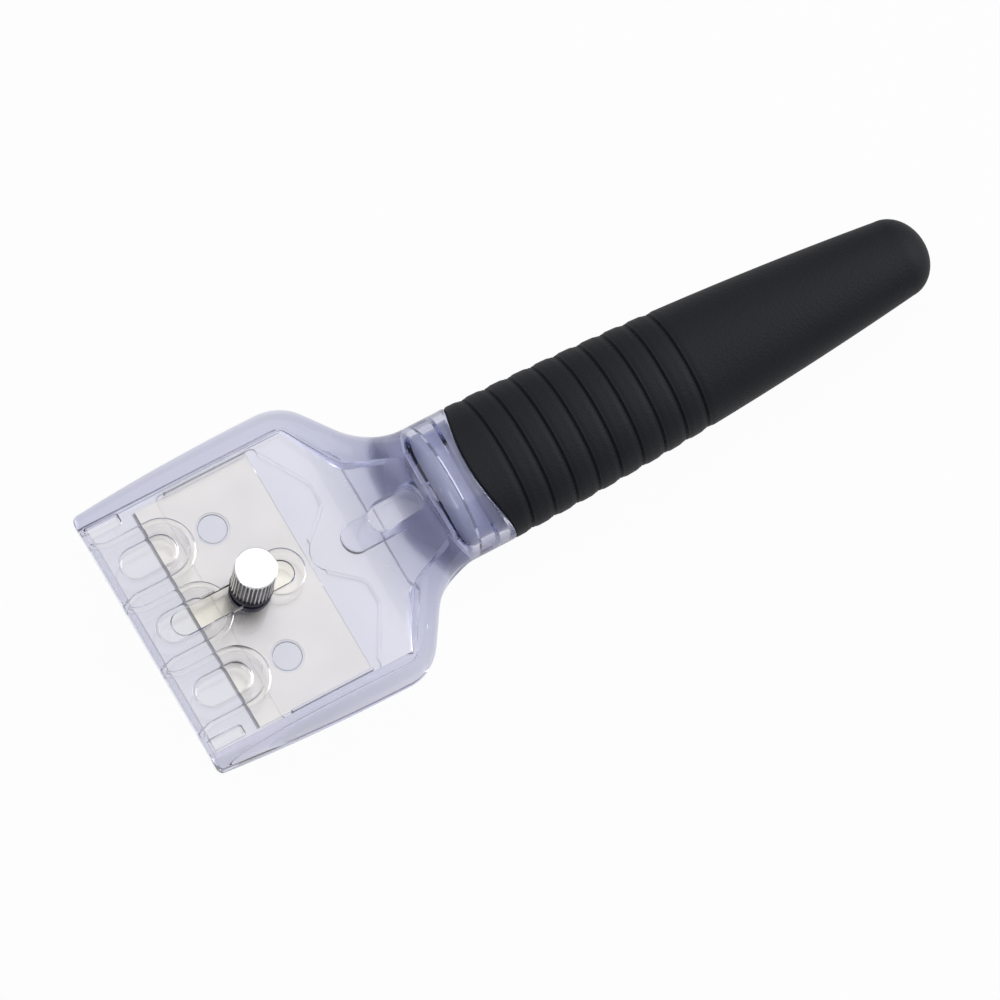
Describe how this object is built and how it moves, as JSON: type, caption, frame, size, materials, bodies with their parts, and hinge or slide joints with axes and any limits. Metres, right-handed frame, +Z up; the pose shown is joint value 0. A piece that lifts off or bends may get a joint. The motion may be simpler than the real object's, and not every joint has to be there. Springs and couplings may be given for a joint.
{
  "type": "razor blade scraper",
  "caption": "Razor blade scraper: a flat clear head with a straight blade on a sliding carrier behind its front slit, clamped by a knurled thumb screw, on a ribbed round-ended grip.",
  "frame": {"origin": "middle of the bounding box, level with the belly of the grip", "axes": "+X from the blade to the end of the grip, +Y across the tool, +Z up through the thumb screw"},
  "size_m": [0.132, 0.0464, 0.0181],
  "materials": {
    "clear_head": "clear moulded plastic with a faint violet tint, polished",
    "clear_base": "clear moulded plastic with a faint violet tint, polished",
    "clear_carrier": "clear moulded plastic, satin",
    "blade_steel": "satin carbon steel with a finely ground bevel",
    "dark_steel": "dark turned steel",
    "black_washer": "smooth black oxide",
    "plated_screw": "bright plating over straight knurls",
    "dark_core": "dark moulded plastic",
    "black_rubber": "matte, finely grained soft rubber"
  },
  "bodies": {
    "handle_and_head": {"head_shell": "clear_head", "base_plate": "clear_base", "handle_core": "dark_core", "grip": "black_rubber"},
    "carriage": {"blade_carrier": "clear_carrier", "razor_blade": "blade_steel", "threaded_insert": "dark_steel"},
    "washer": {"screw_washer": "black_washer"},
    "screw": {"thumb_screw": "plated_screw"}
  },
  "joints": [
    {"name": "blade_slide", "type": "slide", "parent": "handle_and_head", "child": "carriage", "axis": [-1, 0, 0], "range_m": [-0.005, 0.011]},
    {"name": "knob_lift", "type": "slide", "parent": "carriage", "child": "washer", "axis": [0, 0, 1], "range_m": [0, 0.00075]},
    {"name": "knob_turn", "type": "hinge", "parent": "washer", "child": "screw", "pos_m": [-0.0482, 0, 0.0102], "axis": [0, 0, 1], "range_deg": [0, 541]}
  ],
  "couplings": [
    {"joint": "knob_turn", "follows": "knob_lift", "rad_per_m": 12566}
  ]
}
